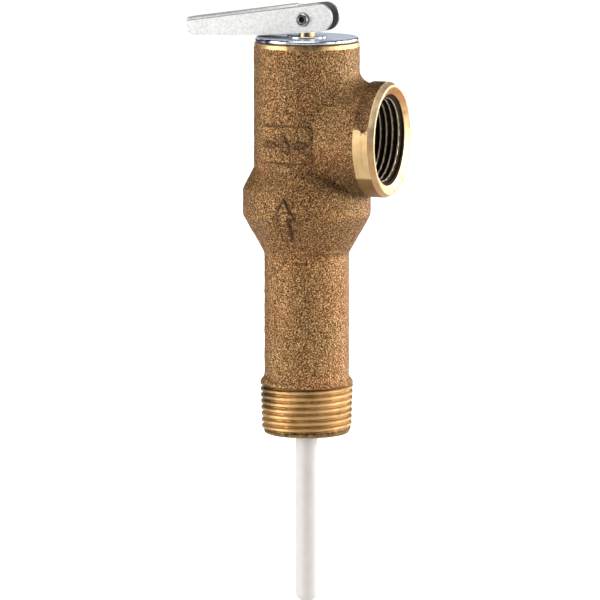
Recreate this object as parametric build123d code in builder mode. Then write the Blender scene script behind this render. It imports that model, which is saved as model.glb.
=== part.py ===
# Temperature and pressure relief valve with a 3/4 inch tapered pipe thread inlet on a long shank,
# a side outlet with the same thread inside, a test lever on top and a probe below.
# Millimetres. Heights are measured from the inlet end and +X is the outlet axis. place() then moves
# each finished part down, so that the frame's origin is on the gauge plane of the inlet thread.
from build123d import *
import os
from math import sin, cos, tan, radians, pi

# ---- pipe thread, 14 per inch, taper 1 in 16 on diameter
pitch = 25.4 / 14
taper = 1 / 32
thread_depth = 1.33
crest_flat = 0.16
gauge_plane = 8.6

# ---- body outside
first_crest_z = 2.35
first_crest_r = 13.083
inlet_crests = 7
runout_r = 12.75
runout_z = 14.05
flare_r = 13.4
flare_bottom_z = 14.4
flare_top_z = 15.1
shank_r = 12.25
shank_bottom_z = 16.8
shank_top_z = 52.6
belt_r = 18.45
belt_bottom_z = 63.7
belt_top_z = 71.3
barrel_r = 15.25
barrel_bottom_z = 77.4
band_z = 112.4
band_r = 15.1
body_top_z = 113.6
shank_root_fillet = 3.0
flare_fillet = 0.8
belt_fillet = 2.2

# ---- body inside
inlet_bore_r = 9.5
guide_floor_z = 49.0
guide_stop_z = 53.0
stop_r = 8.9
throat_bottom_z = 60.0
throat_top_z = 61.5
orifice_r = 8.0
seat_z = 70.4
seat_lip_r = 9.2
chamber_floor_z = 68.4
chamber_r = 12.3

# ---- outlet branch
outlet_z = 86.2
outlet_face_x = 26.4
collar_r = 16.6
collar_x = 21.2
neck_r = 16.2
neck_root_r = 13.6
neck_blend = 4.5
neck_crease_blend = 1.5
outlet_crest_r = 11.75
outlet_grooves = 5
first_groove = 1.1
groove_flat = 0.12
outlet_stop_x = 15.0
outlet_passage_r = 10.0
mouth_r = 14.6
countersink = 1.1

# ---- raised pad and flow arrow on the front of the casting
pad_width = 15.6
pad_x = -0.9
pad_bottom_z = 80.0
pad_top_z = 90.5
pad_proud = 0.5
pad_corner = 1.4
droplet_half = 1.35
droplet_shoulder = 4.6
droplet_tip = 7.9
droplet_foot = 2.6
bar_offset = 4.6
bar_length = 3.4
bar_height = 0.9
mark_proud = 0.3
arrow_tip_z = 69.4
arrow_head_z = 64.3
arrow_tail_z = 57.9
arrow_head_half = 2.95
arrow_shaft_half = 1.3
arrow_proud = 0.45

# ---- cap, washer and stem
cap_r = 14.85
cap_top_z = 115.0
cap_rim_z = 113.85
cap_ceiling_z = 112.0
skirt_bottom_z = 106.5
skirt_inner_r = 10.9
stem_r = 2.3
stem_bore_r = 2.35
washer_r = 5.75
washer_thickness = 0.35

# ---- lever
pivot_z = 120.25
lever_half_width = 3.5
sheet = 1.1
tip_x = -35.8
ear_x = 4.75
ear_rise = 0.65
ear_r = 4.15
top_slope = 8.33
heel_slope = 4.6
rest_x = -14.75
tip_bottom_drop = 5.57
tip_corner = 1.9
web_depth = 2.2
web_end_x = -1.5
web_proud = 0.65
bend_r = 1.0
rivet_r = 1.5
rivet_running_r = 1.55
rivet_head_r = 1.88
rivet_head_height = 1.1
rivet_hole_r = 0.85
eye_r = 2.5

# ---- disc, spring and their holder
holder_notch_r = 3.0
holder_notch_out = 1.4
spring_mean_r = 8.9
wire_r = 1.2
active_coils = 5.0
plate_thickness = 0.8
holder_top_z = 77.4
holder_flange_z = 75.0
holder_flange_r = 12.2
holder_cup_r = 10.4
holder_hub_r = 6.5
holder_hub_top_z = 80.6
disc_r = 9.4
disc_thickness = 2.6
cup_rim_z = 71.0
stud_r = 1.6
retainer_r = 5.6
retainer_thickness = 1.0
nut_flats = 6.4
nut_height = 2.4
stud_end_z = 66.2

# ---- temperature probe
probe_tip_z = -50.0
tube_tip_z = -49.0
wax_bottom_z = -48.4
coating_r = 3.25
tube_r = 2.75
tube_bore_r = 2.25
tube_top_z = 56.0
probe_head_r = 4.6
probe_head_top_z = 58.0
wax_top_z = 40.0
plug_top_z = 46.0
rod_foot_r = 2.19
rod_foot_height = 2.0
rod_r = 1.2
rod_bore_r = 1.26
rod_top_z = 63.0
guide_hub_r = 4.9
guide_rim = 1.3
guide_spoke = 2.2
ring_groove_r = 10.1
ring_groove_bottom_z = 47.5
guide_ring_width = 1.5
guide_ring_gap = 3.0


def place(part, name):
    """Move a finished part into the frame, name it and write it."""
    placed = part.moved(Location((0, 0, -gauge_plane)))
    placed.label = name
    export_step(placed, f"parts/{name}.step")


def flank():
    """Axial width of one flank of a 60 degree thread."""
    return thread_depth * tan(radians(30))


# ---------------------------------------------------------------- valve body
def inlet_thread_outline():
    """Crests and roots of the inlet thread, from the inlet end upward, as (radius, height)."""
    points = []
    for i in range(inlet_crests):
        z = first_crest_z + i * pitch
        r = first_crest_r + i * pitch * taper
        points.append((r - thread_depth, z - crest_flat / 2 - flank()))
        points.append((r, z - crest_flat / 2))
        points.append((r, z + crest_flat / 2))
        if i < inlet_crests - 1:
            points.append((r - thread_depth, z + crest_flat / 2 + flank()))
    return points


def casting_outline():
    """Half section of the casting's outside, as (radius, height)."""
    points = [(0, 0), (11.9, 0), (12.5, 0.55), (12.5, 0.7)]
    points += inlet_thread_outline()
    points += [(runout_r, runout_z), (flare_r, flare_bottom_z), (flare_r, flare_top_z)]
    points += [(shank_r, shank_bottom_z)]
    points += [(shank_r, shank_top_z), (belt_r, belt_bottom_z), (belt_r, belt_top_z)]
    points += [(barrel_r, barrel_bottom_z), (barrel_r, band_z), (band_r, band_z)]
    points += [(band_r, body_top_z - 0.3), (band_r - 0.3, body_top_z), (0, body_top_z)]
    return points


def rings_at(part, radius, height):
    """Circular edges of a given radius and height, for a fillet."""
    found = part.edges().filter_by(GeomType.CIRCLE)
    return [e for e in found if abs(e.radius - radius) < 0.01 and abs(e.center().Z - height) < 0.01]


def make_casting():
    with BuildPart() as casting:
        with BuildSketch(Plane.XZ):
            with BuildLine():
                Polyline(*casting_outline(), close=True)
            make_face()
        revolve(axis=Axis.Z)
        fillet(rings_at(casting, shank_r, shank_top_z), shank_root_fillet)
        fillet(rings_at(casting, belt_r, belt_bottom_z), belt_fillet)
        fillet(rings_at(casting, belt_r, belt_top_z), belt_fillet)
        fillet(rings_at(casting, shank_r, shank_bottom_z), flare_fillet)
    return casting.part


def branch_outline():
    """Half section of the outlet branch, as (distance from the valve axis, radius)."""
    points = [(0, 0), (0, neck_root_r), (collar_x - 0.3, neck_r), (collar_x, collar_r)]
    points += [(outlet_face_x - 1.1, collar_r), (outlet_face_x, collar_r - 0.6)]
    points += [(outlet_face_x, 0)]
    return points


def turned_on_outlet_axis(outline):
    """Solid of revolution about the outlet axis from (distance along it, radius) points."""
    with BuildPart() as turned:
        with BuildSketch(Plane.XZ):
            with BuildLine():
                Polyline(*[(x, outlet_z + r) for x, r in outline], close=True)
            make_face()
        revolve(axis=Axis((0, 0, outlet_z), (1, 0, 0)))
    return turned.part


def junction_edges(part, low, high):
    """Curved edges where the branch meets the rest of the casting, between two heights."""
    found = []
    for edge in part.edges():
        box = edge.bounding_box()
        curved = edge.geom_type not in (GeomType.CIRCLE, GeomType.LINE) and edge.length > 5
        if curved and low < box.min.Z and low + 5 < box.max.Z < high and 4 < box.min.X and box.max.X < 19:
            found.append(edge)
    return found


def make_pad():
    """Raised rectangular pad that wraps the front of the barrel, with a plain droplet on it."""
    height = pad_top_z - pad_bottom_z
    with BuildPart() as pad:
        Cylinder(barrel_r + pad_proud, height, align=(Align.CENTER, Align.CENTER, Align.MIN))
        with BuildSketch(Plane.XZ) as window:
            with Locations((pad_x, height / 2)):
                RectangleRounded(pad_width, height, pad_corner)
        extrude(amount=barrel_r + 5, mode=Mode.INTERSECT)
        with BuildSketch(Plane.XY):
            Circle(barrel_r - 1)
        extrude(amount=height, mode=Mode.SUBTRACT)
    with BuildPart() as droplet:
        mark_r = barrel_r + pad_proud + mark_proud
        Cylinder(mark_r, height, align=(Align.CENTER, Align.CENTER, Align.MIN))
        left = (pad_x - droplet_half, droplet_shoulder)
        right = (pad_x + droplet_half, droplet_shoulder)
        with BuildSketch(Plane.XZ):
            with BuildLine():
                Polyline(left, (pad_x, droplet_tip), right)
                ThreePointArc(right, (pad_x, droplet_foot), left)
            make_face()
            for side in (-1, 1):
                with Locations((pad_x + side * bar_offset, height / 2)):
                    SlotOverall(bar_length, bar_height)
        extrude(amount=barrel_r + 5, mode=Mode.INTERSECT)
        with BuildSketch(Plane.XY):
            Circle(barrel_r - 1)
        extrude(amount=height, mode=Mode.SUBTRACT)
    return Pos(0, 0, pad_bottom_z) * (pad.part + droplet.part)


def make_arrow():
    """Upward flow arrow standing proud of the belt and the cone below it."""
    outline = [(0, arrow_tip_z), (arrow_head_half, arrow_head_z), (arrow_shaft_half, arrow_head_z)]
    outline += [(arrow_shaft_half, arrow_tail_z), (-arrow_shaft_half, arrow_tail_z)]
    outline += [(-arrow_shaft_half, arrow_head_z), (-arrow_head_half, arrow_head_z)]
    with BuildPart() as arrow:
        with BuildSketch(Plane.XZ):
            with BuildLine():
                proud = arrow_proud
                Polyline(
                    (8, shank_top_z),
                    (shank_r + proud, shank_top_z - 0.3),
                    (belt_r + proud, belt_bottom_z - 0.3),
                    (belt_r + proud, belt_top_z),
                    (8, belt_top_z),
                    close=True,
                )
            make_face()
        revolve(axis=Axis.Z)
        with BuildSketch(Plane.XZ):
            with BuildLine():
                Polyline(*outline, close=True)
            make_face()
        extrude(amount=belt_r + 5, mode=Mode.INTERSECT)
    return arrow.part


def inside_outline():
    """Half section of everything bored from the two ends, as (radius, height)."""
    points = [(0, -1), (inlet_bore_r + 0.7, -1), (inlet_bore_r + 0.7, 0), (inlet_bore_r, 0.7)]
    points += [(inlet_bore_r, ring_groove_bottom_z), (ring_groove_r, ring_groove_bottom_z)]
    points += [(ring_groove_r, guide_floor_z), (inlet_bore_r, guide_floor_z)]
    points += [(inlet_bore_r, guide_stop_z), (stop_r, guide_stop_z)]
    points += [(stop_r, throat_bottom_z), (orifice_r, throat_top_z), (orifice_r, seat_z)]
    points += [(seat_lip_r - 0.2, seat_z), (seat_lip_r, seat_z - 0.2)]
    points += [(seat_lip_r + 0.3, chamber_floor_z)]
    points += [(chamber_r, chamber_floor_z), (chamber_r, body_top_z + 1), (0, body_top_z + 1)]
    return points


def outlet_inside_outline():
    """Half section of the outlet's passage, thread and countersunk mouth, as (distance, radius)."""
    points = [(9.5, 0), (9.5, outlet_passage_r), (outlet_stop_x, outlet_passage_r)]
    points += [(outlet_stop_x, outlet_crest_r)]
    thread_start = outlet_face_x - countersink
    for i in reversed(range(outlet_grooves)):
        x = thread_start - first_groove - i * pitch
        r = outlet_crest_r + thread_depth - i * pitch * taper
        wide = flank() * (r - outlet_crest_r) / thread_depth
        points.append((x - groove_flat / 2 - wide, outlet_crest_r))
        points.append((x - groove_flat / 2, r))
        points.append((x + groove_flat / 2, r))
        points.append((x + groove_flat / 2 + wide, outlet_crest_r))
    points += [(thread_start, outlet_crest_r + 0.65), (outlet_face_x, mouth_r)]
    points += [(outlet_face_x + 1, mouth_r), (outlet_face_x + 1, 0)]
    return points


def make_valve_body():
    with BuildPart() as valve_body:
        add(make_casting())
        add(turned_on_outlet_axis(branch_outline()))
        fillet(junction_edges(valve_body, 72, 110), neck_blend)
        fillet(junction_edges(valve_body, 70.5, 78.5), neck_crease_blend)
        add(make_pad())
        add(make_arrow())
        with BuildSketch(Plane.XZ):
            with BuildLine():
                Polyline(*inside_outline(), close=True)
            make_face()
        revolve(axis=Axis.Z, mode=Mode.SUBTRACT)
        add(turned_on_outlet_axis(outlet_inside_outline()), mode=Mode.SUBTRACT)
    return valve_body.part


# ---------------------------------------------------------------- cap, gasket and washer
def turned(outline):
    """Solid of revolution about the valve axis from (radius, height) points."""
    with BuildPart() as part:
        with BuildSketch(Plane.XZ):
            with BuildLine():
                Polyline(*outline, close=True)
            make_face()
        revolve(axis=Axis.Z)
    return part.part


def make_spring_cap():
    """Flat round cap whose skirt is pressed into the barrel and whose underside holds the spring."""
    outline = [(stem_bore_r, cap_ceiling_z), (skirt_inner_r, cap_ceiling_z)]
    outline += [(skirt_inner_r, skirt_bottom_z), (chamber_r - 0.4, skirt_bottom_z)]
    outline += [(chamber_r, skirt_bottom_z + 0.4), (chamber_r, cap_rim_z)]
    outline += [(cap_r - 0.25, cap_rim_z), (cap_r, cap_rim_z + 0.25), (cap_r, cap_top_z - 0.3)]
    outline += [(cap_r - 0.3, cap_top_z), (stem_bore_r, cap_top_z)]
    return turned(outline)


def make_cap_gasket():
    """Thin ring squeezed between the cap's rim and the top of the barrel."""
    inner, outer = chamber_r, cap_r - 0.75
    return turned([(inner, body_top_z), (outer, body_top_z), (outer, cap_rim_z), (inner, cap_rim_z)])


def make_stem_washer():
    """Wear washer round the stem, which the lever's heel bears on."""
    bottom, top = cap_top_z, cap_top_z + washer_thickness
    outline = [(stem_bore_r + 0.1, bottom), (washer_r, bottom), (washer_r, top - 0.1)]
    outline += [(washer_r - 0.1, top), (stem_bore_r + 0.1, top)]
    return turned(outline)


# ---------------------------------------------------------------- stem
def make_valve_stem():
    """Round stem from the disc's nut up to the lever, with a rounded eye for the rivet."""
    eye_top = pivot_z + eye_r
    with BuildPart() as stem:
        add(turned([(0, stud_end_z), (stud_r - 0.3, stud_end_z), (stud_r, stud_end_z + 0.3),
                    (stud_r, holder_hub_top_z), (stem_r, holder_hub_top_z), (stem_r, eye_top),
                    (0, eye_top)]))
        with BuildSketch(Plane.XZ):
            with Locations((0, pivot_z)):
                Circle(eye_r)
            with Locations((0, (pivot_z + throat_bottom_z) / 2)):
                Rectangle(2 * stem_r + 1, pivot_z - throat_bottom_z)
        extrude(amount=stem_r + 1, both=True, mode=Mode.INTERSECT)
        with BuildSketch(Plane.XZ):
            with Locations((0, pivot_z)):
                Circle(rivet_running_r)
        extrude(amount=stem_r + 1, both=True, mode=Mode.SUBTRACT)
    return stem.part


# ---------------------------------------------------------------- lever and rivet
def tangent_top():
    """Where the lever's sloping top edge meets the round ear, from the ear's centre."""
    slope = radians(top_slope)
    return (ear_x - ear_r * sin(slope), ear_centre_z() + ear_r * cos(slope))


def tangent_heel():
    """Where the lever's bottom edge meets the round ear."""
    slope = radians(heel_slope)
    return (ear_x + ear_r * sin(slope), ear_centre_z() - ear_r * cos(slope))


def ear_centre_z():
    return pivot_z + ear_rise


def top_edge_z(x):
    """Height of the cheeks' top edge at a distance along the lever."""
    start_x, start_z = tangent_top()
    return start_z - (start_x - x) * tan(radians(top_slope))


def rest_edge_z():
    """Height of the bottom edge over the cap's rim."""
    start_x, start_z = tangent_heel()
    return start_z - (start_x - rest_x) * tan(radians(heel_slope))


def web_outline(depth):
    """Side outline of the web, from its top surface down by a depth."""
    outer = [(x, top_edge_z(x) + web_proud) for x in (tip_x, web_end_x)]
    inner = [(x, z - depth) for x, z in reversed(outer)]
    return outer + inner


def hollow_outline():
    """Side outline of the space between the cheeks, below the web and open at the ears."""
    far_x, far_z = tip_x - 1, web_proud - sheet
    points = [(far_x, top_edge_z(far_x) + far_z), (web_end_x, top_edge_z(web_end_x) + far_z)]
    points += [(web_end_x, pivot_z + 9), (ear_x + ear_r + 1, pivot_z + 9)]
    points += [(ear_x + ear_r + 1, pivot_z - 9), (far_x, pivot_z - 9)]
    return points


def make_test_lever():
    """Folded sheet lever: two cheeks joined by a web on top, open below, with two round ears."""
    inner = lever_half_width - sheet
    tip_bottom_z = pivot_z - tip_bottom_drop
    with BuildPart() as lever:
        with BuildSketch(Plane.XZ.offset(-lever_half_width)):
            with BuildLine():
                Polyline(*web_outline(web_depth), close=True)
            make_face()
        extrude(amount=2 * lever_half_width)
        long_edges = lever.edges().filter_by(GeomType.LINE).filter_by(lambda e: e.length > 30)
        fillet(long_edges.sort_by(lambda e: e.center().Z)[-2:], bend_r)
        with BuildSketch(Plane.XZ.offset(-lever_half_width)) as cheeks:
            with BuildLine():
                Polyline(
                    tangent_top(),
                    (tip_x, top_edge_z(tip_x)),
                    (tip_x, tip_bottom_z),
                    (rest_x, rest_edge_z()),
                    tangent_heel(),
                )
                ThreePointArc(tangent_heel(), (ear_x + ear_r, ear_centre_z()), tangent_top())
            make_face()
            fillet(cheeks.vertices().sort_by(lambda v: v.X + v.Y)[0], tip_corner)
        extrude(amount=2 * lever_half_width)
        with BuildSketch(Plane.XZ.offset(-inner)):
            with BuildLine():
                Polyline(*hollow_outline(), close=True)
            make_face()
        extrude(amount=2 * inner, mode=Mode.SUBTRACT)
        with BuildSketch(Plane.XZ.offset(-lever_half_width - 1)):
            with Locations((0, pivot_z)):
                Circle(rivet_r)
        extrude(amount=2 * lever_half_width + 2, mode=Mode.SUBTRACT)
    return lever.part


def make_lever_rivet():
    """Hollow rivet through both cheeks and the stem's eye, with a domed rim at each end."""
    face = lever_half_width
    end = face + rivet_head_height
    half = [(rivet_hole_r, 0), (rivet_r, 0), (rivet_r, face), (rivet_head_r, face)]
    half += [(rivet_head_r, face + 0.45), (rivet_head_r - 0.2, face + 0.85), (1.45, end)]
    half += [(1.15, end), (rivet_hole_r, face + 0.7)]
    with BuildPart() as rivet:
        with BuildSketch(Plane.YZ):
            for side in (-1, 1):
                with BuildLine():
                    Polyline(*[(side * y, pivot_z + r) for r, y in half], close=True)
                make_face()
        revolve(axis=Axis((0, 0, pivot_z), (0, 1, 0)))
    return rivet.part


# ---------------------------------------------------------------- spring and disc
def make_main_spring():
    """Compression spring between the spring plate and the cap, with closed and ground ends."""
    bottom = holder_top_z + plate_thickness
    top = cap_ceiling_z
    turns = active_coils + 2
    rise = (top - bottom - 2 * wire_r) - 2 * wire_r * 2
    points = []
    steps = int(turns * 12)
    for i in range(steps + 1):
        turn = i * turns / steps
        inside = min(max(turn - 1, 0), active_coils)
        dead = min(turn, 1) + max(turn - 1 - active_coils, 0)
        ease = inside / active_coils
        z = bottom + wire_r * 0.75 + dead * 2 * wire_r * 1.05 + ease * (rise + 0.2 * wire_r)
        points.append((spring_mean_r * cos(2 * pi * turn), spring_mean_r * sin(2 * pi * turn), z))
    with BuildPart() as spring:
        with BuildLine() as coil:
            Spline(*points)
        with BuildSketch(Plane(origin=coil.line @ 0, z_dir=coil.line % 0)):
            Circle(wire_r)
        sweep(is_frenet=True)
        with BuildSketch(Plane.XY.offset(bottom)):
            Circle(spring_mean_r + 3)
        extrude(amount=top - bottom, mode=Mode.INTERSECT)
    return spring.part


def make_spring_plate():
    """Plain washer that spreads the spring's load on the disc holder."""
    bottom, top = holder_top_z, holder_top_z + plate_thickness
    inner, outer = holder_hub_r, spring_mean_r + wire_r + 0.6
    return turned([(inner, bottom), (outer, bottom), (outer, top), (inner, top)])


def make_disc_holder():
    """Guided holder: a cup for the disc below, a scalloped flange and a hub for the spring."""
    outline = [(stud_r, cup_rim_z + 2.0), (disc_r, cup_rim_z + 2.0), (disc_r, cup_rim_z)]
    outline += [(holder_cup_r, cup_rim_z), (holder_cup_r, holder_flange_z)]
    outline += [(holder_flange_r, holder_flange_z), (holder_flange_r, holder_top_z)]
    outline += [(holder_hub_r, holder_top_z), (holder_hub_r, holder_hub_top_z - 0.6)]
    outline += [(holder_hub_r - 0.6, holder_hub_top_z), (stud_r, holder_hub_top_z)]
    with BuildPart() as holder:
        add(turned(outline))
        with BuildSketch(Plane.XY.offset(holder_flange_z)):
            with PolarLocations(holder_flange_r + holder_notch_out, 6):
                Circle(holder_notch_r)
        extrude(amount=holder_top_z - holder_flange_z, mode=Mode.SUBTRACT)
    return holder.part


def make_seat_disc():
    """Soft disc that closes on the body's seat."""
    bottom, top = seat_z, seat_z + disc_thickness
    return turned([(stud_r, bottom), (disc_r, bottom), (disc_r, top), (stud_r, top)])


def make_disc_retainer():
    """Washer that holds the middle of the disc."""
    bottom, top = seat_z - retainer_thickness, seat_z
    outline = [(stud_r, bottom), (retainer_r - 0.3, bottom), (retainer_r, bottom + 0.3)]
    outline += [(retainer_r, top), (stud_r, top)]
    return turned(outline)


def make_retainer_nut():
    """Hexagon nut on the lower end of the stem."""
    with BuildPart() as nut:
        with BuildSketch(Plane.XY.offset(seat_z - retainer_thickness - nut_height)):
            RegularPolygon(nut_flats / 2, 6, major_radius=False)
            Circle(stud_r, mode=Mode.SUBTRACT)
        extrude(amount=nut_height)
    return nut.part


# ---------------------------------------------------------------- temperature probe
def domed_rod(radius, tip, top):
    """Round rod with a domed lower end."""
    with BuildPart() as rod:
        with Locations((0, 0, tip)):
            Cylinder(radius, top - tip, align=(Align.CENTER, Align.CENTER, Align.MIN))
        fillet(rod.edges().filter_by(GeomType.CIRCLE).sort_by(Axis.Z)[0], radius * 0.8)
    return rod.part


def make_thermostat_tube():
    """Thin closed tube that holds the wax."""
    with BuildPart() as tube:
        add(domed_rod(tube_r, tube_tip_z, tube_top_z))
        add(domed_rod(tube_bore_r, wax_bottom_z, tube_top_z), mode=Mode.SUBTRACT)
    return tube.part


def make_probe_coating():
    """Plastic skin over the tube, from its tip up to the probe's head."""
    with BuildPart() as coating:
        add(domed_rod(coating_r, probe_tip_z, guide_stop_z))
        add(domed_rod(tube_r, tube_tip_z, tube_top_z), mode=Mode.SUBTRACT)
    return coating.part


def make_wax_charge():
    """Wax that fills the closed end of the tube."""
    return domed_rod(tube_bore_r, wax_bottom_z, wax_top_z)


def make_wax_plug():
    """Rubber plug between the wax and the push rod."""
    return turned([(0, wax_top_z), (tube_bore_r, wax_top_z), (tube_bore_r, plug_top_z), (0, plug_top_z)])


def make_push_rod():
    """Rod with a wide foot that the wax drives up against the end of the stem."""
    foot = plug_top_z + rod_foot_height
    outline = [(0, plug_top_z), (rod_foot_r, plug_top_z), (rod_foot_r, foot), (rod_r, foot)]
    outline += [(rod_r, rod_top_z - 0.4), (rod_r - 0.4, rod_top_z), (0, rod_top_z)]
    return turned(outline)


def make_probe_head():
    """Collar on the tube's open end, which sits on the guide and guides the rod."""
    top = probe_head_top_z
    outline = [(tube_r, guide_stop_z), (probe_head_r, guide_stop_z), (probe_head_r, top - 0.6)]
    outline += [(probe_head_r - 0.6, top), (rod_bore_r, top), (rod_bore_r, tube_top_z)]
    outline += [(tube_r, tube_top_z)]
    return turned(outline)


def make_probe_guide():
    """Spider pressed into the shank's bore, with a hub round the probe."""
    with BuildPart() as guide:
        with BuildSketch(Plane.XY.offset(guide_floor_z)):
            Circle(inlet_bore_r)
            Circle(inlet_bore_r - guide_rim, mode=Mode.SUBTRACT)
            Circle(guide_hub_r)
            with PolarLocations((guide_hub_r + inlet_bore_r - guide_rim) / 2, 3, 90):
                Rectangle(inlet_bore_r - guide_rim - guide_hub_r + 1.2, guide_spoke)
            Circle(coating_r, mode=Mode.SUBTRACT)
        extrude(amount=guide_stop_z - guide_floor_z)
    return guide.part


def make_guide_ring():
    """Split ring in a groove of the bore, under the guide."""
    with BuildPart() as ring:
        with BuildSketch(Plane.XY.offset(ring_groove_bottom_z)):
            Circle(ring_groove_r)
            Circle(ring_groove_r - guide_ring_width, mode=Mode.SUBTRACT)
            with Locations((ring_groove_r, 0)):
                Rectangle(5, guide_ring_gap, mode=Mode.SUBTRACT)
        extrude(amount=guide_floor_z - ring_groove_bottom_z)
    return ring.part


if __name__ == "__main__":
    os.makedirs("parts", exist_ok=True)
    place(make_valve_body(), "valve_body")
    place(make_spring_cap(), "spring_cap")
    place(make_cap_gasket(), "cap_gasket")
    place(make_stem_washer(), "stem_washer")
    place(make_valve_stem(), "valve_stem")
    place(make_test_lever(), "test_lever")
    place(make_lever_rivet(), "lever_rivet")
    place(make_main_spring(), "main_spring")
    place(make_spring_plate(), "spring_plate")
    place(make_disc_holder(), "disc_holder")
    place(make_seat_disc(), "seat_disc")
    place(make_disc_retainer(), "disc_retainer")
    place(make_retainer_nut(), "retainer_nut")
    place(make_thermostat_tube(), "thermostat_tube")
    place(make_probe_coating(), "probe_coating")
    place(make_wax_charge(), "wax_charge")
    place(make_wax_plug(), "wax_plug")
    place(make_push_rod(), "push_rod")
    place(make_probe_head(), "probe_head")
    place(make_probe_guide(), "probe_guide")
    place(make_guide_ring(), "guide_ring")
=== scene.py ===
# Looks of the temperature and pressure relief valve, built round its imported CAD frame.
import math

import bmesh
import bpy
import numpy as np
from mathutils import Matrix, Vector, noise


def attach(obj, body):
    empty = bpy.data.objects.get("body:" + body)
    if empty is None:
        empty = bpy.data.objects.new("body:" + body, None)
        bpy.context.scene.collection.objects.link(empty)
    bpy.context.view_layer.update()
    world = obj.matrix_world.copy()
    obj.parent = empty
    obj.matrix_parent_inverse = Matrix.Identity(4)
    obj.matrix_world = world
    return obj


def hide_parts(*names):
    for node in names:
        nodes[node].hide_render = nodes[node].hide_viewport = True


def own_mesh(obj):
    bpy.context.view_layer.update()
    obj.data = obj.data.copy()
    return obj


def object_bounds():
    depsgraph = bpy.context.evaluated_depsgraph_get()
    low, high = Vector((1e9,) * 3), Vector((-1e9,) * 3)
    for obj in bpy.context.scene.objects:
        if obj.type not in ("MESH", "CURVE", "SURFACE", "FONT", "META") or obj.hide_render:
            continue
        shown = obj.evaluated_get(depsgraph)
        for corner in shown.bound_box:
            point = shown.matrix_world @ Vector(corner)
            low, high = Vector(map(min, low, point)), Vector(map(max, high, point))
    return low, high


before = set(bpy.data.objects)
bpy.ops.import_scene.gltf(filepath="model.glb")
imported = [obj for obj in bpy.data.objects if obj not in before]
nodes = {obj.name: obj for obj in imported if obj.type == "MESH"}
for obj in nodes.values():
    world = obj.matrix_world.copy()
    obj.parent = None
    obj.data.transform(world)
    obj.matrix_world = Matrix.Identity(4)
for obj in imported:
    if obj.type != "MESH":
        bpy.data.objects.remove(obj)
cad_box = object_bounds()

# Lengths below are millimetres and heights are measured from the inlet end, as on a drawing, unless a
# comment says that they are in the frame, whose origin is on the gauge plane.
MM = 0.001
GAUGE_PLANE = 8.6

# ---- camera, in the frame and in metres
CAMERA_PLACE = (0.5307, -1.4030, 0.2460)
CAMERA_AIM = (-0.0021, 0, 0.0299)
CAMERA_LENS_MM = 314.3

# ---- brightness of the surroundings, on the valve and as seen behind it
GLOW_ON_VALVE = 0.1
GLOW_BEHIND = 1.05

# ---- casting
CAST_BOTTOM = 14.05
CAST_TOP = 112.4
BAND_R = 15.1
BAND_TOP = 113.6
CHAMBER_R = 12.3
BELT_TOP = 71.3
CREASE_R = 16.8
VOXEL = 0.33
PAD_X, PAD_Z = -0.9, 85.25
PAD_HALF_WIDTH, PAD_HALF_HEIGHT, PAD_CORNER = 7.8, 5.25, 1.4
ARROW_TIP, ARROW_HEAD_Z, ARROW_TAIL = 69.4, 64.3, 57.9
ARROW_HEAD_HALF, ARROW_SHAFT_HALF = 2.95, 1.3

# ---- cast marks: height, depth of the groove round them, soiling and painted shade in that groove, soiling on the mark
PAD_RELIEF = (0.34, 0.12, 0.24, 0)
MARK_RELIEF = (0.10, 0.20, 0.7, 0.5)
ARROW_RELIEF = (0.16, 0.34, 0.85, 0.12)

# ---- painted light: the casting is painted lighter towards its foot, between these heights in the frame
PAINTED_LIGHT_BELOW, FULL_PAINTED_LIGHT_BELOW = 62, 40

# ---- outlet
OUTLET_Z = 86.2
COLLAR_BACK = 20.2
COLLAR_R = 16.6
COLLAR_BEVEL = 0.8
BEVEL_LENGTH = 1.6
FACE_X = 26.2
MOUTH_R = 14.95
THREAD_MOUTH_X = 25.2
THREAD_MOUTH_R = 13.15
SLEEVE_R = 13.7
SLEEVE_BACK = 15.0

# ---- edges of the collar's unturned patch and of the painted shade along its lower side, above the outlet's axis
UNCUT_ABOVE = 3.8
LOWER_SHADE_BELOW = -9.9

# ---- taper pipe thread
PITCH = 25.4 / 14
TAPER = 1 / 32
FLANK = math.tan(math.radians(30))
ROWS_PER_TURN = 28
INLET_GROOVE = 0.798
CREST_FLAT = 0.66
INLET_CREST_R = 13.04
INLET_CREST_Z = 2.35
INLET_BORE_R = 9.5
INLET_END_R = 12.0
OUTLET_BORE_R = 11.95
OUTLET_ROOT_R = 13.08
OUTLET_ROOT_X = 24.6

# ---- turn about the valve's axis at which the inlet's lowest crest is at INLET_CREST_Z
VIEW_SIDE = math.radians(-69.5)

# ---- lever, in the frame. The fold's height is taken square to its slope.
FOLD_SLOPE = math.radians(8.33)
FOLD_HEIGHT = 114.3
PIVOT_HEIGHT = 111.65
CHEEK_OUTSIDE, CHEEK_INSIDE = 3.42, 2.5
RIVET_RIM_R = 1.95

# ---- planes in the frame, below the whole valve and the whole lever, to measure heights from
VALVE_DATUM = -100
LEVER_DATUM = 100


# ---------------------------------------------------------------- shader helpers
def shader_node(tree, kind, **values):
    """Adds a node. Inputs are named with underscores for spaces, and other names are properties."""
    node = tree.nodes.new(kind)
    for name, value in values.items():
        title = name.replace("_", " ")
        if title in node.inputs:
            node.inputs[title].default_value = value
        else:
            setattr(node, name, value)
    return node


# ---------------------------------------------------------------- camera, stage and light
def make_camera():
    """Long lens, a little above the valve, looking at its front and into the outlet."""
    data = bpy.data.cameras.new("camera")
    data.lens = CAMERA_LENS_MM
    data.sensor_width = 36
    camera = bpy.data.objects.new("camera", data)
    camera.location = CAMERA_PLACE
    forward = Vector(CAMERA_AIM) - camera.location
    camera.rotation_euler = forward.to_track_quat("-Z", "Y").to_euler()
    bpy.context.scene.collection.objects.link(camera)
    bpy.context.scene.camera = camera


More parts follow.
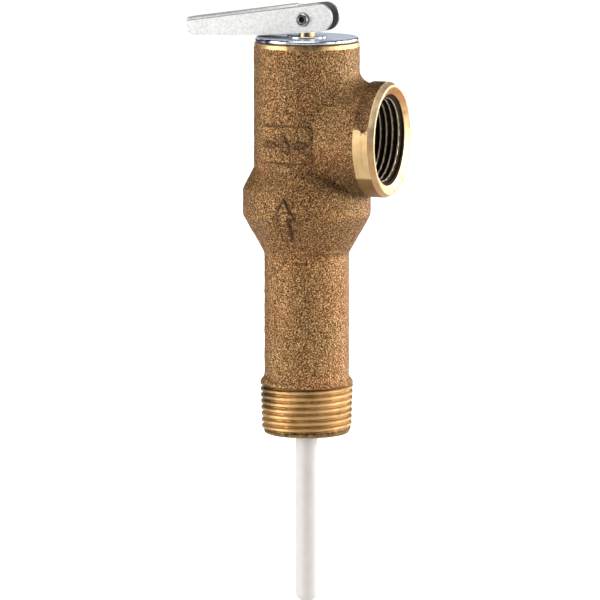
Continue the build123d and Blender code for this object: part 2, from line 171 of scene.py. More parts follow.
def soft_box(name, azimuth, elevation, distance, width, height, watts, tint=(1, 1, 1)):
    """Area light round the valve, facing it. Azimuth 0 is in front and 90 is on the outlet side.
    Lengths are metres."""
    data = bpy.data.lights.new(name, "AREA")
    data.shape = "RECTANGLE"
    data.size = width
    data.size_y = height
    data.energy = watts
    data.color = tint
    light = bpy.data.objects.new(name, data)
    turn, rise = math.radians(azimuth), math.radians(elevation)
    middle = Vector((0, 0, 0.05))
    away = Vector((math.sin(turn) * math.cos(rise), -math.cos(turn) * math.cos(rise), math.sin(rise)))
    light.location = middle + away * distance
    light.rotation_euler = (-away).to_track_quat("-Z", "Y").to_euler()
    bpy.context.scene.collection.objects.link(light)


def make_world():
    """White surroundings for the eye, dimmer for what they throw on the valve."""
    world = bpy.data.worlds.new("studio")
    bpy.context.scene.world = world
    world.use_nodes = True
    tree = world.node_tree
    glow = tree.nodes["Background"]
    path = tree.nodes.new("ShaderNodeLightPath")
    mix = tree.nodes.new("ShaderNodeMix")
    mix.inputs["A"].default_value = GLOW_ON_VALVE
    mix.inputs["B"].default_value = GLOW_BEHIND
    tree.links.new(path.outputs["Is Camera Ray"], mix.inputs["Factor"])
    tree.links.new(mix.outputs["Result"], glow.inputs["Strength"])


def make_floor():
    """Round white floor that the probe's tip just clears."""
    data = bpy.data.meshes.new("floor")
    cloth = bmesh.new()
    bmesh.ops.create_circle(cloth, cap_ends=True, segments=96, radius=3.0)
    cloth.to_mesh(data)
    cloth.free()
    floor = bpy.data.objects.new("floor", data)
    floor.location.z = cad_box[0].z - 0.0005
    bpy.context.scene.collection.objects.link(floor)
    mat = bpy.data.materials.new("floor_white")
    mat.use_nodes = True
    shader = mat.node_tree.nodes["Principled BSDF"]
    shader.inputs["Base Color"].default_value = (0.9, 0.9, 0.9, 1)
    shader.inputs["Roughness"].default_value = 0.9
    shader.inputs["Emission Color"].default_value = (1, 1, 1, 1)
    path = shader_node(mat.node_tree, "ShaderNodeLightPath")
    mat.node_tree.links.new(path.outputs["Is Camera Ray"], shader.inputs["Emission Strength"])
    data.materials.append(mat)


make_camera()
make_world()
make_floor()
soft_box("key", -50, 2, 1.5, 0.9, 1.3, 30)
soft_box("rim", 106, 6, 1.3, 0.4, 1.3, 18.5)
soft_box("fill", 74, 4, 1.6, 0.3, 1.1, 5)
soft_box("top", 0, 78, 1.4, 0.9, 0.9, 8)
soft_box("backdrop_right", 146, 4, 1.6, 0.8, 1.2, 18)
soft_box("backdrop_left", 204, 9, 1.6, 0.8, 0.7, 1.3, (0.86, 0.93, 1.0))
bpy.context.scene.view_settings.view_transform = "Standard"


# ---------------------------------------------------------------- materials
def new_material(name, **values):
    """Material with one Principled shader, its unlinked inputs set by name."""
    mat = bpy.data.materials.new(name)
    mat.use_nodes = True
    shader = mat.node_tree.nodes["Principled BSDF"]
    for title, value in values.items():
        shader.inputs[title.replace("_", " ")].default_value = value
    return mat, mat.node_tree, shader


def grain(tree, scale, detail=2.0, stretch=(1, 1, 1), roughness=0.5):
    """Noise in the piece's own space. Scale is features per metre."""
    place = shader_node(tree, "ShaderNodeTexCoord")
    turn = shader_node(tree, "ShaderNodeMapping", Scale=stretch)
    cloud = shader_node(tree, "ShaderNodeTexNoise", Scale=scale, Detail=detail, Roughness=roughness)
    tree.links.new(place.outputs["Object"], turn.inputs["Vector"])
    tree.links.new(turn.outputs["Vector"], cloud.inputs["Vector"])
    return cloud.outputs["Fac"]


def ramp(tree, factor, stops):
    """Colour ramp from (position, colour) stops."""
    node = shader_node(tree, "ShaderNodeValToRGB")
    bar = node.color_ramp.elements
    while len(bar) < len(stops):
        bar.new(0.5)
    for element, (position, colour) in zip(bar, stops):
        element.position = position
        element.color = (*colour, 1)
    tree.links.new(factor, node.inputs["Fac"])
    return node.outputs["Color"]


def level(tree, factor, low, high, dark=0.0, bright=1.0):
    """Stretches low..high of a factor to dark..bright."""
    node = shader_node(tree, "ShaderNodeMapRange", From_Min=low, From_Max=high, To_Min=dark, To_Max=bright)
    tree.links.new(factor, node.inputs["Value"])
    return node.outputs["Result"]


def blend(tree, factor, a, b, kind="MIX"):
    """Mixes two colours."""
    node = shader_node(tree, "ShaderNodeMix", data_type="RGBA", blend_type=kind)
    for socket, value in (("Factor", factor), ("A", a), ("B", b)):
        inlet = next(i for i in node.inputs if i.name == socket and i.enabled)
        if isinstance(value, bpy.types.NodeSocket):
            tree.links.new(value, inlet)
        elif socket == "Factor":
            inlet.default_value = value
        else:
            inlet.default_value = (*value, 1)
    return next(o for o in node.outputs if o.enabled)


def away_from(tree, direction, middle):
    """Distance from a plane, in the piece's own space."""
    place = shader_node(tree, "ShaderNodeTexCoord")
    along = shader_node(tree, "ShaderNodeVectorMath", operation="DOT_PRODUCT")
    along.inputs[1].default_value = direction
    less = shader_node(tree, "ShaderNodeMath", operation="SUBTRACT")
    less.inputs[1].default_value = middle
    away = shader_node(tree, "ShaderNodeMath", operation="ABSOLUTE")
    tree.links.new(place.outputs["Object"], along.inputs[0])
    tree.links.new(along.outputs["Value"], less.inputs[0])
    tree.links.new(less.outputs["Value"], away.inputs[0])
    return away.outputs["Value"]


def product(tree, a, b):
    """Two factors multiplied."""
    node = shader_node(tree, "ShaderNodeMath", operation="MULTIPLY")
    tree.links.new(a, node.inputs[0])
    tree.links.new(b, node.inputs[1])
    return node.outputs["Value"]


def from_pivot(tree):
    """Distance from the rivet's axis."""
    place = shader_node(tree, "ShaderNodeTexCoord")
    flat = shader_node(tree, "ShaderNodeVectorMath", operation="MULTIPLY")
    flat.inputs[1].default_value = (1, 0, 1)
    apart = shader_node(tree, "ShaderNodeVectorMath", operation="DISTANCE")
    apart.inputs[1].default_value = (0, 0, PIVOT_HEIGHT * MM)
    tree.links.new(place.outputs["Object"], flat.inputs[0])
    tree.links.new(flat.outputs["Vector"], apart.inputs[0])
    return apart.outputs["Value"]


def bumps(tree, shader, layers):
    """Chains bump nodes from (height, strength, distance) layers into the shader's normal."""
    normal = None
    for height, strength, distance in layers:
        node = shader_node(tree, "ShaderNodeBump", Strength=strength, Distance=distance)
        tree.links.new(height, node.inputs["Height"])
        if normal:
            tree.links.new(normal, node.inputs["Normal"])
        normal = node.outputs["Normal"]
    tree.links.new(normal, shader.inputs["Normal"])


def soiled_and_shaded(tree, clean, colour):
    """Clean colour darkened by the piece's stored soiling and painted shade."""
    grime_and_shade = shader_node(tree, "ShaderNodeAttribute", attribute_name="grime_and_shade")
    return blend(tree, grime_and_shade.outputs["Fac"], clean, colour)


def cast_bronze():
    """Sand-cast bronze: gritty brown skin with bright grains and duller patches, painted lighter towards the
    foot as painted light.
    """
    mat, tree, shader = new_material("cast_bronze", Metallic=0.72)
    fine = grain(tree, 2450, 3.0, roughness=0.72)
    coarse = grain(tree, 700, 3.0)
    patches = grain(tree, 75, 3.0)
    skin = ramp(tree, fine, [
        (0.38, (0.020, 0.009, 0.003)), (0.465, (0.170, 0.085, 0.031)),
        (0.54, (0.36, 0.188, 0.069)), (0.65, (0.93, 0.60, 0.31))])
    reddening = ramp(tree, patches, [(0.35, (0.91, 0.96, 0.88)), (0.65, (1.0, 0.86, 0.76))])
    tinted = blend(tree, 0.8, skin, reddening, "MULTIPLY")
    # Painted light: lighter towards the casting's foot, brightening its lower part.
    height = away_from(tree, (0, 0, 1), VALVE_DATUM * MM)
    painted_light = level(tree, height, (PAINTED_LIGHT_BELOW - VALVE_DATUM) * MM, (FULL_PAINTED_LIGHT_BELOW - VALVE_DATUM) * MM)
    tinted = blend(tree, painted_light, tinted, (1.17, 1.16, 1.16), "MULTIPLY")
    tree.links.new(soiled_and_shaded(tree, tinted, (0.03, 0.018, 0.009)), shader.inputs["Base Color"])
    tree.links.new(level(tree, coarse, 0.3, 0.7, 0.42, 0.62), shader.inputs["Roughness"])
    bumps(tree, shader, [(coarse, 0.5, 0.0004), (fine, 0.9, 0.00028)])
    return mat


def machined_bronze(name, stretch, dark=(0.56, 0.33, 0.125), bright=(0.86, 0.58, 0.27), rough=0.42,
                    dirt_and_shade=(0.09, 0.042, 0.014), metal=1.0):
    """Turned bronze with fine tool rings. Stretch is large along the tool's feed."""
    mat, tree, shader = new_material(name, Metallic=metal)
    rings = grain(tree, 1.0, 3.0, stretch)
    patches = grain(tree, 260, 3.0)
    tone = ramp(tree, patches, [(0.3, dark), (0.62, bright)])
    turned = blend(tree, 0.35, tone, ramp(tree, rings, [(0.3, dark), (0.6, bright)]))
    tree.links.new(soiled_and_shaded(tree, turned, dirt_and_shade), shader.inputs["Base Color"])
    tree.links.new(level(tree, patches, 0.3, 0.7, rough * 0.8, rough * 1.2), shader.inputs["Roughness"])
    bumps(tree, shader, [(rings, 0.25, 0.00012)])
    return mat


def plated(name, dark, bright, rough, mottle=900, speckle=0.2):
    """Zinc or steel plate: soft mottling, faint pits and rubbed streaks."""
    mat, tree, shader = new_material(name, Metallic=0.9)
    cloud = grain(tree, mottle, 4.0)
    streak = grain(tree, 1.0, 2.0, (160, 2600, 2600))
    tone = ramp(tree, cloud, [(0.3, dark), (0.62, bright)])
    rubbed = ramp(tree, streak, [(0.35, dark), (0.6, bright)])
    tree.links.new(blend(tree, 0.25, tone, rubbed), shader.inputs["Base Color"])
    tree.links.new(level(tree, cloud, 0.3, 0.7, rough * 0.8, rough * 1.25), shader.inputs["Roughness"])
    bumps(tree, shader, [(cloud, speckle, 0.0001)])
    return mat


def cap_zinc():
    """Smooth bluish zinc plate, with a painted reflection of the lever's dark underside as streaky dark blue
    patches on the side under the lever.
    """
    mat, tree, shader = new_material("zinc_cap", Metallic=0.92)
    cloud = grain(tree, 260, 4.0)
    painted_darkening = grain(tree, 150, 3.0, (1, 2.2, 1))
    place = shader_node(tree, "ShaderNodeTexCoord")
    split = shader_node(tree, "ShaderNodeSeparateXYZ")
    tree.links.new(place.outputs["Object"], split.inputs["Vector"])
    # Painted reflection of the lever's dark underside: streaky dark blue patches on the cap's side under the
    # lever.
    shaded = level(tree, split.outputs["X"], 3 * MM, -7 * MM)
    amount = product(tree, level(tree, painted_darkening, 0.42, 0.52), shaded)
    tone = ramp(tree, cloud, [(0.3, (0.62, 0.68, 0.80)), (0.62, (0.80, 0.85, 0.94))])
    tree.links.new(blend(tree, amount, tone, (0.05, 0.07, 0.17)), shader.inputs["Base Color"])
    tree.links.new(level(tree, cloud, 0.3, 0.7, 0.18, 0.27), shader.inputs["Roughness"])
    bumps(tree, shader, [(cloud, 0.02, 0.0001)])
    return mat


def lever_zinc():
    """Bright zinc plate on a folded lever: a painted shadow line along the fold, painted shade round the
    rivet, grey edges on the cheeks, and painted shade between them."""
    mat, tree, shader = new_material("zinc_lever", Metallic=0.6)
    cloud = grain(tree, 1500, 5.0, (0.85, 1, 1.15), 0.6)
    pits = grain(tree, 560, 2.0)
    tone = ramp(tree, cloud, [(0.36, (0.68, 0.68, 0.66)), (0.58, (0.84, 0.84, 0.82))])
    spots = ramp(tree, pits, [(0.24, (0.35, 0.35, 0.35)), (0.30, (1, 1, 1))])
    outer = blend(tree, 0.7, tone, spots, "MULTIPLY")
    slope = (-math.sin(FOLD_SLOPE), 0, math.cos(FOLD_SLOPE))
    # Painted shadow: a dark line along the fold.
    fold = level(tree, away_from(tree, slope, FOLD_HEIGHT * MM), 0.04 * MM, 0.22 * MM, 0.75, 0.0)
    outer = blend(tree, fold, outer, (0.07, 0.07, 0.068))
    # Painted shade: a dark ring round the rivet's head.
    ring = level(tree, from_pivot(tree), RIVET_RIM_R * MM, (RIVET_RIM_R + 0.25) * MM, 0.9, 0.0)
    outer = blend(tree, ring, outer, (0.08, 0.078, 0.07))
    across = away_from(tree, (0, 1, 0), 0)
    web = FOLD_HEIGHT - LEVER_DATUM
    height = away_from(tree, slope, LEVER_DATUM * MM)
    below_web = level(tree, height, (web + 0.4) * MM, (web + 0.2) * MM)
    edges = level(tree, across, CHEEK_OUTSIDE * MM, (CHEEK_OUTSIDE - 0.12) * MM, 0.0, 0.6)
    edges = product(tree, edges, below_web)
    outer = blend(tree, edges, outer, (0.2, 0.2, 0.2))
    # Painted shade on the cheeks' inner faces, between them.
    inside = level(tree, across, CHEEK_INSIDE * MM, (CHEEK_INSIDE - 0.14) * MM)
    inside = product(tree, inside, below_web)
    tree.links.new(blend(tree, inside, outer, (0.11, 0.125, 0.125)), shader.inputs["Base Color"])
    tree.links.new(level(tree, cloud, 0.3, 0.7, 0.36, 0.52), shader.inputs["Roughness"])
    bumps(tree, shader, [(cloud, 0.2, 0.0001)])
    return mat


def rivet_steel():
    """Steel rivet with dark rings of painted shade between its rim, its rolled lip and its hole."""
    mat, tree, shader = new_material("rivet_steel", Metallic=0.9)
    cloud = grain(tree, 900, 3.0)
    radius = level(tree, from_pivot(tree), 0, 2 * MM)
    # The near-black rings are painted shade in the hollows round the rivet's head and hole.
    rings = ramp(tree, radius, [
        (0.42, (0.05, 0.048, 0.04)), (0.46, (0.75, 0.75, 0.70)), (0.57, (0.70, 0.70, 0.66)),
        (0.63, (0.04, 0.038, 0.034)), (0.74, (0.06, 0.058, 0.05)), (0.79, (0.78, 0.78, 0.74)),
        (0.92, (0.80, 0.80, 0.76))])
    worn = ramp(tree, cloud, [(0.3, (0.7, 0.7, 0.7)), (0.6, (1, 1, 1))])
    tree.links.new(blend(tree, 1.0, rings, worn, "MULTIPLY"), shader.inputs["Base Color"])
    tree.links.new(level(tree, cloud, 0.3, 0.7, 0.26, 0.4), shader.inputs["Roughness"])
    bumps(tree, shader, [(cloud, 0.1, 0.0001)])
    return mat


def plain(name, dark, bright, rough, scale, metal=0.0, bump=0.1):
    """Any other stuff: two close tones in a fine cloud, with a matching bump."""
    mat, tree, shader = new_material(name, Metallic=metal)
    cloud = grain(tree, scale, 3.0)
    tree.links.new(ramp(tree, cloud, [(0.32, dark), (0.66, bright)]), shader.inputs["Base Color"])
    tree.links.new(level(tree, cloud, 0.3, 0.7, rough * 0.85, rough * 1.15), shader.inputs["Roughness"])
    bumps(tree, shader, [(cloud, bump, 0.0001)])
    return mat


cast = cast_bronze()
faced = machined_bronze("mouth_bronze", (900, 900, 900), (0.74, 0.48, 0.22), (0.95, 0.74, 0.45), 0.4,
                        (0.52, 0.21, 0.05), 0.7)
crests = plain("crest_bronze", (0.72, 0.60, 0.42), (0.95, 0.86, 0.66), 0.35, 700, 0.5)
bored = machined_bronze("bored_bronze", (60, 60, 2400), (0.22, 0.12, 0.05), (0.5, 0.32, 0.14))
turned_z = machined_bronze("turned_bronze", (90, 90, 3200))
turned_x = machined_bronze("collar_bronze", (3200, 90, 90), (0.68, 0.43, 0.18), (0.98, 0.71, 0.37), 0.48,
                           (0.24, 0.12, 0.035))
# Near-black painted shade for the outlet thread's grooves.
groove_shade_finish = plain("painted_groove_shade", (0.014, 0.008, 0.004), (0.060, 0.034, 0.015), 0.7, 900, 0.8)


# ---------------------------------------------------------------- mesh helpers
def new_piece(name, points, faces, materials, body="body"):
    """Closed mesh from points in millimetres with heights from the inlet end, set in the frame on a body."""
    data = bpy.data.meshes.new(name)
    placed = (np.asarray(points, float) - (0, 0, GAUGE_PLANE)) * MM
    data.from_pydata(placed.tolist(), [], faces)
    tidy = bmesh.new()
    tidy.from_mesh(data)
    bmesh.ops.recalc_face_normals(tidy, faces=tidy.faces)
    tidy.to_mesh(data)
    tidy.free()
    data.shade_smooth()
    data.set_sharp_from_angle(angle=math.radians(38))
    for mat in materials:
        data.materials.append(mat)
    piece = bpy.data.objects.new(name, data)
    bpy.context.scene.collection.objects.link(piece)
    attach(piece, body)
    return piece


def soil_and_shade(piece, amount):
    """Stores how far each point of a piece is darkened, by soiling and by painted shade."""
    grime_and_shade = piece.data.attributes.new("grime_and_shade", "FLOAT", "POINT")
    grime_and_shade.data.foreach_set("value", np.clip(amount, 0, 1).astype(np.float32))


def angles(segments):
    """Even steps round a circle."""
    return np.arange(segments) * 2 * math.pi / segments


def round_solid(rows, segments, axis):
    """Points and faces of a closed ring. A row is (radius, height), and its radius is one number or one
    for each segment. Axis Z stands on the inlet, and axis X lies along the outlet."""
    turn = angles(segments)
    points = []
    for radius, height in rows:
        r = np.broadcast_to(radius, segments)
        h = np.full(segments, float(height))
        if axis == "Z":
            points.append(np.stack([r * np.cos(turn), r * np.sin(turn), h], 1))
        else:
            points.append(np.stack([h, r * np.cos(turn), OUTLET_Z + r * np.sin(turn)], 1))
    faces = []
    for i in range(len(rows)):
        here, there = i * segments, (i + 1) % len(rows) * segments
        for j in range(segments):
            k = (j + 1) % segments
            faces.append((here + j, here + k, there + k, there + j))
    return np.concatenate(points), faces


def rough(points, size, seed):
    """Smooth noise from -1 to 1 at each point, for features of that size in millimetres."""
    shift = Vector((seed * 17.3, seed * 5.1, seed * 9.7))
    return np.array([noise.noise(Vector(p) / size + shift) for p in points])


def smooth_step(value, low, high):
    """0 at low and 1 at high, with a soft start and end. Low may be the larger."""
    t = np.clip((value - low) / (high - low), 0, 1)
    return t * t * (3 - 2 * t)


def from_crest(distance, turn, start):
    """Distance along the axis to the nearest crest of a right-hand thread."""
    turns = (distance - start) / PITCH - turn / (2 * math.pi)
    return np.abs(turns - np.round(turns)) * PITCH


# ---------------------------------------------------------------- casting
def cutter(size, middle, radius=None):
    """Cube, or cylinder along X if it has a radius, to cut the casting with."""
    data = bpy.data.meshes.new("cutter")
    shape = bmesh.new()
    if radius:
        bmesh.ops.create_cone(shape, cap_ends=True, segments=128, radius1=radius, radius2=radius, depth=size)
        bmesh.ops.rotate(shape, matrix=Vector((0, 0, 1)).rotation_difference(Vector((1, 0, 0))).to_matrix(),
                         verts=shape.verts)
    else:
        bmesh.ops.create_cube(shape, size=size)
    bmesh.ops.translate(shape, vec=middle, verts=shape.verts)
    shape.to_mesh(data)
    shape.free()
    tool = bpy.data.objects.new("cutter", data)
    bpy.context.scene.collection.objects.link(tool)
    return tool


def evaluated(work):
    """The object's mesh with its modifiers applied, as a new mesh."""
    graph = bpy.context.evaluated_depsgraph_get()
    return bpy.data.meshes.new_from_object(work.evaluated_get(graph))


def remeshed_casting():
    """The CAD body without its machined ends and collar, as an even skin of small faces."""
    data = nodes["valve_body"].data.copy()
    scaled = bmesh.new()
    scaled.from_mesh(data)
    bmesh.ops.remove_doubles(scaled, verts=scaled.verts, dist=1e-6)
    bmesh.ops.scale(scaled, vec=(1 / MM,) * 3, verts=scaled.verts)
    bmesh.ops.translate(scaled, vec=(0, 0, GAUGE_PLANE), verts=scaled.verts)
    scaled.to_mesh(data)
    scaled.free()
    work = bpy.data.objects.new("casting_work", data)
    bpy.context.scene.collection.objects.link(work)
    block = 100
    tools = [
        cutter(block, (0, 0, CAST_BOTTOM - block / 2)),
        cutter(block, (0, 0, CAST_TOP + block / 2)),
        cutter(block, (COLLAR_BACK + block / 2, 0, OUTLET_Z)),
        cutter(2 * (COLLAR_BACK - SLEEVE_BACK), (COLLAR_BACK, 0, OUTLET_Z), SLEEVE_R),
    ]
    for tool in tools:
        cut = work.modifiers.new("cut", "BOOLEAN")
        cut.operation = "DIFFERENCE"
        cut.solver = "EXACT"
        cut.object = tool
    skin = work.modifiers.new("skin", "REMESH")
    skin.mode = "VOXEL"
    skin.voxel_size = VOXEL
    mesh = evaluated(work)
    for unused in [work, *tools]:
        bpy.data.objects.remove(unused)
    return mesh


def pad_distance(x, z):
    """Distance outside the raised pad's rounded outline, negative inside it."""
    across = np.abs(x - PAD_X) - (PAD_HALF_WIDTH - PAD_CORNER)
    along = np.abs(z - PAD_Z) - (PAD_HALF_HEIGHT - PAD_CORNER)
    outside = np.hypot(np.maximum(across, 0), np.maximum(along, 0))
    return outside + np.minimum(np.maximum(across, along), 0) - PAD_CORNER


def arrow_distance(x, z):
    """Rough distance outside the flow arrow, negative inside it."""
    x = np.abs(x)
    slope = math.hypot(ARROW_HEAD_HALF, ARROW_TIP - ARROW_HEAD_Z)
    side = (x * (ARROW_TIP - ARROW_HEAD_Z) + (z - ARROW_TIP) * ARROW_HEAD_HALF) / slope
    head = np.maximum(side, ARROW_HEAD_Z - z)
    shaft = np.maximum(x - ARROW_SHAFT_HALF, np.maximum(ARROW_TAIL - z, z - ARROW_HEAD_Z - 0.5))
    return np.minimum(head, shaft)


def mark_distance(x, z):
    """Rough distance outside the pad's plain droplet and its two bars, negative inside them."""
    x, z = x - PAD_X, z - PAD_Z
    bulb = np.hypot(x, z + 0.5) - 1.5
    point = np.maximum((np.abs(x) * 3.3 + (z - 2.65) * 1.35) / 3.57, -z - 0.65)
    bars = np.hypot(np.maximum(np.abs(np.abs(x) - 4.6) - 1.25, 0), z) - 0.5
    return np.minimum(np.minimum(bulb, point), bars)


def relief(points):
    """Extra height of the cast marks, raised inside with a groove round them, and the soiling and painted
    shade in that groove.
    """
    x, y, z = points.T
    front = (y < -5) & (np.hypot(x, y) < 19.5)
    lift, grime_and_shade = np.zeros(len(points)), np.zeros(len(points))
    for distance, (rise, groove, dirt_and_shade, filled) in (
        (pad_distance(x, z), PAD_RELIEF),
        (mark_distance(x, z), MARK_RELIEF),
        (arrow_distance(x, z), ARROW_RELIEF),
    ):
        # Each groove is darkened partly by soiling and partly as painted shade.
        edge = np.exp(-((distance - 0.3) / 0.34) ** 2)
        lift += rise * (1 - smooth_step(distance, -0.3, 0.1)) - groove * edge
        grime_and_shade = np.maximum(grime_and_shade, np.maximum(dirt_and_shade * edge, filled * (distance < 0.3)))
    return lift * front, grime_and_shade * front


def make_casting():
    """Sand-cast body: lumpy skin, raised pad with its mark, flow arrow and painted shade in the crease below
    the outlet's branch."""
    mesh = remeshed_casting()
    count = len(mesh.vertices)
    points = np.empty(count * 3)
    mesh.vertices.foreach_get("co", points)
    points = points.reshape(-1, 3)
    normals = np.empty(count * 3)
    mesh.vertices.foreach_get("normal", normals)
    normals = normals.reshape(-1, 3)
    from_axis = np.hypot(points[:, 0], points[:, 1])
    from_outlet = np.hypot(points[:, 1], points[:, 2] - OUTLET_Z)
    wall = np.where(points[:, 2] > BELT_TOP - 4, CHAMBER_R + 1.3, INLET_BORE_R + 1.5)
    outside = np.where(points[:, 0] > CHAMBER_R + 1, from_outlet > SLEEVE_R + 0.25, from_axis > wall)
    lumps = 0.10 * rough(points, 2.6, 1) + 0.07 * rough(points, 1.1, 2) + 0.05 * rough(points, 0.6, 3)
    ends = smooth_step(points[:, 2], CAST_BOTTOM, CAST_BOTTOM + 0.8)
    lift, dirt_and_shade = relief(points)
    points += normals * ((lumps * ends + lift) * outside)[:, None]
    faces = [tuple(p.vertices) for p in mesh.polygons]
    piece = new_piece("casting", points, faces, [cast, bored])
    inner = np.array([not all(outside[list(f)]) for f in faces])
    piece.data.polygons.foreach_set("material_index", inner.astype(np.int32))
    # Painted shade in the crease where the outlet's branch meets the belt.
    crease = np.exp(-((from_outlet - CREASE_R) / 1.3) ** 2) * smooth_step(points[:, 0], -3, 6)
    crease *= 0.75 * smooth_step(points[:, 2], 81, 72) * smooth_step(points[:, 2], 68, 70.5)
    soil_and_shade(piece, np.maximum(dirt_and_shade, crease) * (0.75 + 0.35 * rough(points, 0.9, 7)))
    bpy.data.meshes.remove(mesh)
    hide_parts("valve_body")


def make_inlet_thread():
    """Threaded end of the shank, with a real helix that runs up under the casting's flare."""
    segments = 240
    turn = angles(segments)
    lower, upper = 0.75, CAST_BOTTOM + 0.5
    steps = int((upper - lower) / PITCH * ROWS_PER_TURN)
    rows = [(INLET_BORE_R + 0.05, 0.7), (INLET_BORE_R + 0.7, 0)]
    rows += [(INLET_END_R, 0), (INLET_END_R + 0.25, 0.15)]
    dirt_and_shade = [np.full(segments, share) for share in (0.6, 0.6, 0.7, 0.65)]
    for height in np.linspace(lower, upper, steps):
        crest = INLET_CREST_R + (height - INLET_CREST_Z) * TAPER
        away = from_crest(height, turn - VIEW_SIDE, INLET_CREST_Z)
        depth = np.clip((away - CREST_FLAT / 2) / FLANK, 0, INLET_GROOVE)
        lead_in = INLET_END_R + 0.1 + height * 0.5
        rows.append((np.minimum(crest - depth, lead_in), height))
        # Darker in the valleys; the turns under the casting's flare are darkened as painted shadow.
        valley = 0.55 * smooth_step(depth, 0.45, 0.8) + 0.3 * smooth_step(height, 12.4, 13.8)
        dirt_and_shade.append(np.maximum(valley, 0.85 - 0.75 * smooth_step(height, 1.2, 2.2)))
    rows.append((INLET_BORE_R + 0.05, upper))
    dirt_and_shade.append(np.zeros(segments))
    points, faces = round_solid(rows, segments, "Z")
    piece = new_piece("inlet_thread", points, faces, [turned_z])
    grime_and_shade = np.concatenate(dirt_and_shade) * (0.8 + 0.6 * rough(points, 0.8, 8))
    # Painted shade on the left side of the upper turns, under the flare.
    painted_darkening = 0.5 * smooth_step(points[:, 0], -2, -11) * smooth_step(points[:, 2], 6.5, 9.5)
    soil_and_shade(piece, grime_and_shade + painted_darkening * (1 + rough(points, 0.7, 12)))
    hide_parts("valve_body")


def make_top_band():
    """Machined land that the cap's rim and gasket sit on."""
    rows = [(CHAMBER_R + 0.02, CAST_TOP - 0.5), (BAND_R - 0.3, CAST_TOP - 0.5), (BAND_R, CAST_TOP - 0.2)]
    rows += [(BAND_R, BAND_TOP - 0.3), (BAND_R - 0.09, BAND_TOP - 0.09), (BAND_R - 0.3, BAND_TOP)]
    rows += [(CHAMBER_R + 0.02, BAND_TOP)]
    points, faces = round_solid(rows, 240, "Z")
    piece = new_piece("top_band", points, faces, [turned_z])
    soil_and_shade(piece, 0.26 + 0.5 * rough(points, 0.8, 11) - 0.1 * smooth_step(points[:, 0], 6, 12))
    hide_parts("valve_body")


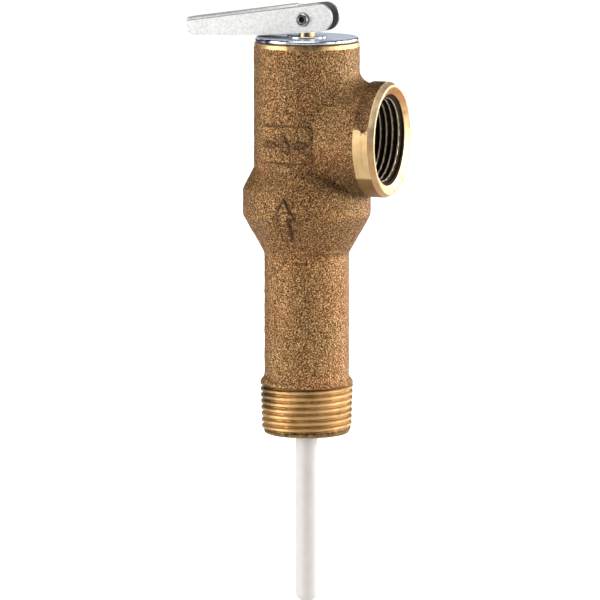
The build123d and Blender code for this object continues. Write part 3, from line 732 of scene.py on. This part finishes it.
def make_outlet_collar():
    """Turned collar with the outlet's helical thread inside. The turning missed its upper side."""
    segments, skin_rows, thread_rows = 400, 24, 150
    turn = angles(segments)
    rows = [(SLEEVE_R, COLLAR_BACK - 0.3), (COLLAR_R - 0.25, COLLAR_BACK - 0.3), (COLLAR_R, COLLAR_BACK)]
    rows += [(COLLAR_R, x) for x in np.linspace(COLLAR_BACK, FACE_X - BEVEL_LENGTH, skin_rows)[1:]]
    rows += [(COLLAR_R - 0.1, FACE_X - BEVEL_LENGTH + 0.15), (COLLAR_R - COLLAR_BEVEL + 0.08, FACE_X - 0.15)]
    rows += [(COLLAR_R - COLLAR_BEVEL, FACE_X), (MOUTH_R + 0.1, FACE_X), (MOUTH_R, FACE_X - 0.1)]
    slope = (MOUTH_R - THREAD_MOUTH_R) / (FACE_X - 0.1 - THREAD_MOUTH_X)
    for x in np.linspace(FACE_X - 0.3, THREAD_MOUTH_X + 0.15, 5):
        rows.append((THREAD_MOUTH_R + slope * (x - THREAD_MOUTH_X), x))
    for x in np.linspace(THREAD_MOUTH_X, SLEEVE_BACK, thread_rows):
        root = OUTLET_ROOT_R - (OUTLET_ROOT_X - x) * TAPER
        away = from_crest(x, turn, OUTLET_ROOT_X)
        groove = root - np.clip((away - 0.06) / FLANK, 0, 3)
        bore = OUTLET_BORE_R - (OUTLET_ROOT_X - x) * TAPER
        countersink = THREAD_MOUTH_R - (THREAD_MOUTH_X - x)
        rows.append((np.maximum(np.maximum(groove, bore), countersink), x))
    rows.append((SLEEVE_R, SLEEVE_BACK))
    points, faces = round_solid(rows, segments, "X")
    height = points[:, 2] - OUTLET_Z
    lathe = np.hypot(points[:, 1], height)
    from_bore = lathe - OUTLET_BORE_R + (OUTLET_ROOT_X - points[:, 0]) * TAPER
    on_skin = (lathe > COLLAR_R - 0.26) & (points[:, 0] < FACE_X - BEVEL_LENGTH + 0.1)
    ragged = height - UNCUT_ABOVE + 1.6 * rough(points, 1.6, 4)
    uncut = on_skin & (ragged > 0)
    lumps = 0.10 + 0.07 * rough(points, 1.1, 5) + 0.06 * rough(points, 0.6, 6)
    push = np.where(uncut, lumps * smooth_step(ragged, 0, 0.8), 0) / np.maximum(lathe, 1)
    points[:, 1] *= 1 + push
    points[:, 2] = OUTLET_Z + height * (1 + push)
    piece = new_piece("outlet_collar", points, faces, [turned_x, cast, groove_shade_finish, crests, faced])
    mouth = (points[:, 0] > THREAD_MOUTH_X - 0.05) & (lathe < COLLAR_R - COLLAR_BEVEL + 0.05)
    inner = (points[:, 0] < THREAD_MOUTH_X + 0.01) & (lathe < OUTLET_ROOT_R + 0.3)
    bevel = (points[:, 0] > FACE_X - BEVEL_LENGTH + 0.05) & (lathe > MOUTH_R + 0.3)
    turned, rough_cast, groove_shadow, crest, mouth_face = range(5)
    kinds = []
    for face, side in zip(faces, piece.data.polygons):
        face = list(face)
        if all(uncut[face]):
            kinds.append(rough_cast)
        elif all(inner[face]):
            # Painted light: the crests, and more of their flanks that face the mouth, take the bright crest
            # finish; the rest takes near-black painted shade.
            lit = 0.15 if side.normal.x > 0.2 else 0.06
            kinds.append(crest if all(from_bore[face] < lit) and side.normal.x > -0.2 else groove_shadow)
        else:
            kinds.append(mouth_face if all(mouth[face]) or all(bevel[face]) else turned)
    piece.data.polygons.foreach_set("material_index", kinds)
    spots = rough(points, 2.6, 9)
    # Painted shade along the collar's lower side.
    low = 0.8 * smooth_step(height, LOWER_SHADE_BELOW + 0.3, LOWER_SHADE_BELOW - 0.3)
    # Reddish-brown on the mouth's face, more towards the top and on the far side, with spots.
    reddening = 0.55 * smooth_step(height, 5, 12) + 0.32 * smooth_step(height, -9, 3)
    reddening += 0.6 * smooth_step(spots, 0.2, 0.6)
    reddening *= points[:, 1] > -4
    # Painted highlight: the bevel keeps the mouth's pale finish clean at its top and is darkened towards its
    # bottom.
    reddening = np.where(bevel, 0.5 * smooth_step(height, 6, -2) + 0.2 * spots, reddening)
    edge = smooth_step(ragged, -1.6, 0) * smooth_step(rough(points, 0.5, 10), 0.0, 0.3)
    skin = np.where(uncut, 0.4 + 0.3 * spots, np.maximum(low, 0.8 * edge))
    soil_and_shade(piece, np.where(mouth | bevel, reddening, np.where(on_skin, skin, 0.0)))
    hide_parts("valve_body")


make_casting()
make_inlet_thread()
make_top_band()
make_outlet_collar()

# ---------------------------------------------------------------- carried-over parts
FINISH = {
    "spring_cap": cap_zinc(),
    "stem_washer": plated("washer_steel", (0.42, 0.47, 0.56), (0.66, 0.71, 0.80), 0.28, 500, 0.05),
    "test_lever": lever_zinc(),
    "lever_rivet": rivet_steel(),
    "valve_stem": machined_bronze("stem_brass", (200, 200, 4200)),
    "cap_gasket": plain("gasket_fibre", (0.05, 0.035, 0.025), (0.12, 0.09, 0.06), 0.85, 2500),
    "disc_holder": machined_bronze("holder_brass", (90, 90, 2600)),
    "retainer_nut": machined_bronze("nut_brass", (700, 700, 700)),
    "probe_head": machined_bronze("head_brass", (90, 90, 2600)),
    "probe_guide": machined_bronze("guide_brass", (500, 500, 900)),
    "main_spring": plain("spring_steel", (0.10, 0.10, 0.11), (0.30, 0.30, 0.31), 0.36, 900, 1.0),
    "spring_plate": plated("plate_steel", (0.35, 0.35, 0.36), (0.62, 0.62, 0.63), 0.35),
    "disc_retainer": plated("retainer_steel", (0.35, 0.35, 0.36), (0.62, 0.62, 0.63), 0.35),
    "seat_disc": plain("disc_rubber", (0.012, 0.012, 0.012), (0.03, 0.03, 0.03), 0.7, 1500),
    "thermostat_tube": plain("tube_copper", (0.62, 0.27, 0.15), (0.86, 0.46, 0.3), 0.3, 500, 1.0),
    "probe_coating": plain("coating_plastic", (0.83, 0.785, 0.75), (0.865, 0.825, 0.795), 0.45, 350,
                           bump=0.05),
    "wax_charge": plain("wax", (0.55, 0.42, 0.2), (0.74, 0.6, 0.34), 0.5, 700),
    "wax_plug": plain("plug_rubber", (0.015, 0.014, 0.013), (0.04, 0.036, 0.03), 0.65, 1200),
    "push_rod": plated("rod_steel", (0.4, 0.4, 0.41), (0.7, 0.7, 0.7), 0.25),
    "guide_ring": plated("ring_steel", (0.3, 0.3, 0.3), (0.6, 0.6, 0.61), 0.32),
}
for node_name, finish in FINISH.items():
    nodes[node_name].data.materials.clear()
    nodes[node_name].data.materials.append(finish)


def soften(name, width):
    """Rounds a CAD part's sharp edges by a small width in millimetres."""
    part = nodes[name]
    weld = part.modifiers.new("weld", "WELD")
    weld.merge_threshold = 1e-6
    edge = part.modifiers.new("edge", "BEVEL")
    edge.width = width * MM
    edge.segments = 2
    edge.limit_method = "ANGLE"
    edge.angle_limit = math.radians(35)
    edge.harden_normals = True


def make_coil_spring():
    """The main spring, copied from the CAD part onto the body; the real spring shortens against the cap as
    the stem lifts, but this copy keeps its shape.
    """
    coil = bpy.data.objects.new("coil_spring", nodes["main_spring"].data.copy())
    bpy.context.scene.collection.objects.link(coil)
    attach(coil, "body")
    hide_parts("main_spring")
    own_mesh(coil)


make_coil_spring()
soften("test_lever", 0.16)
soften("spring_cap", 0.08)
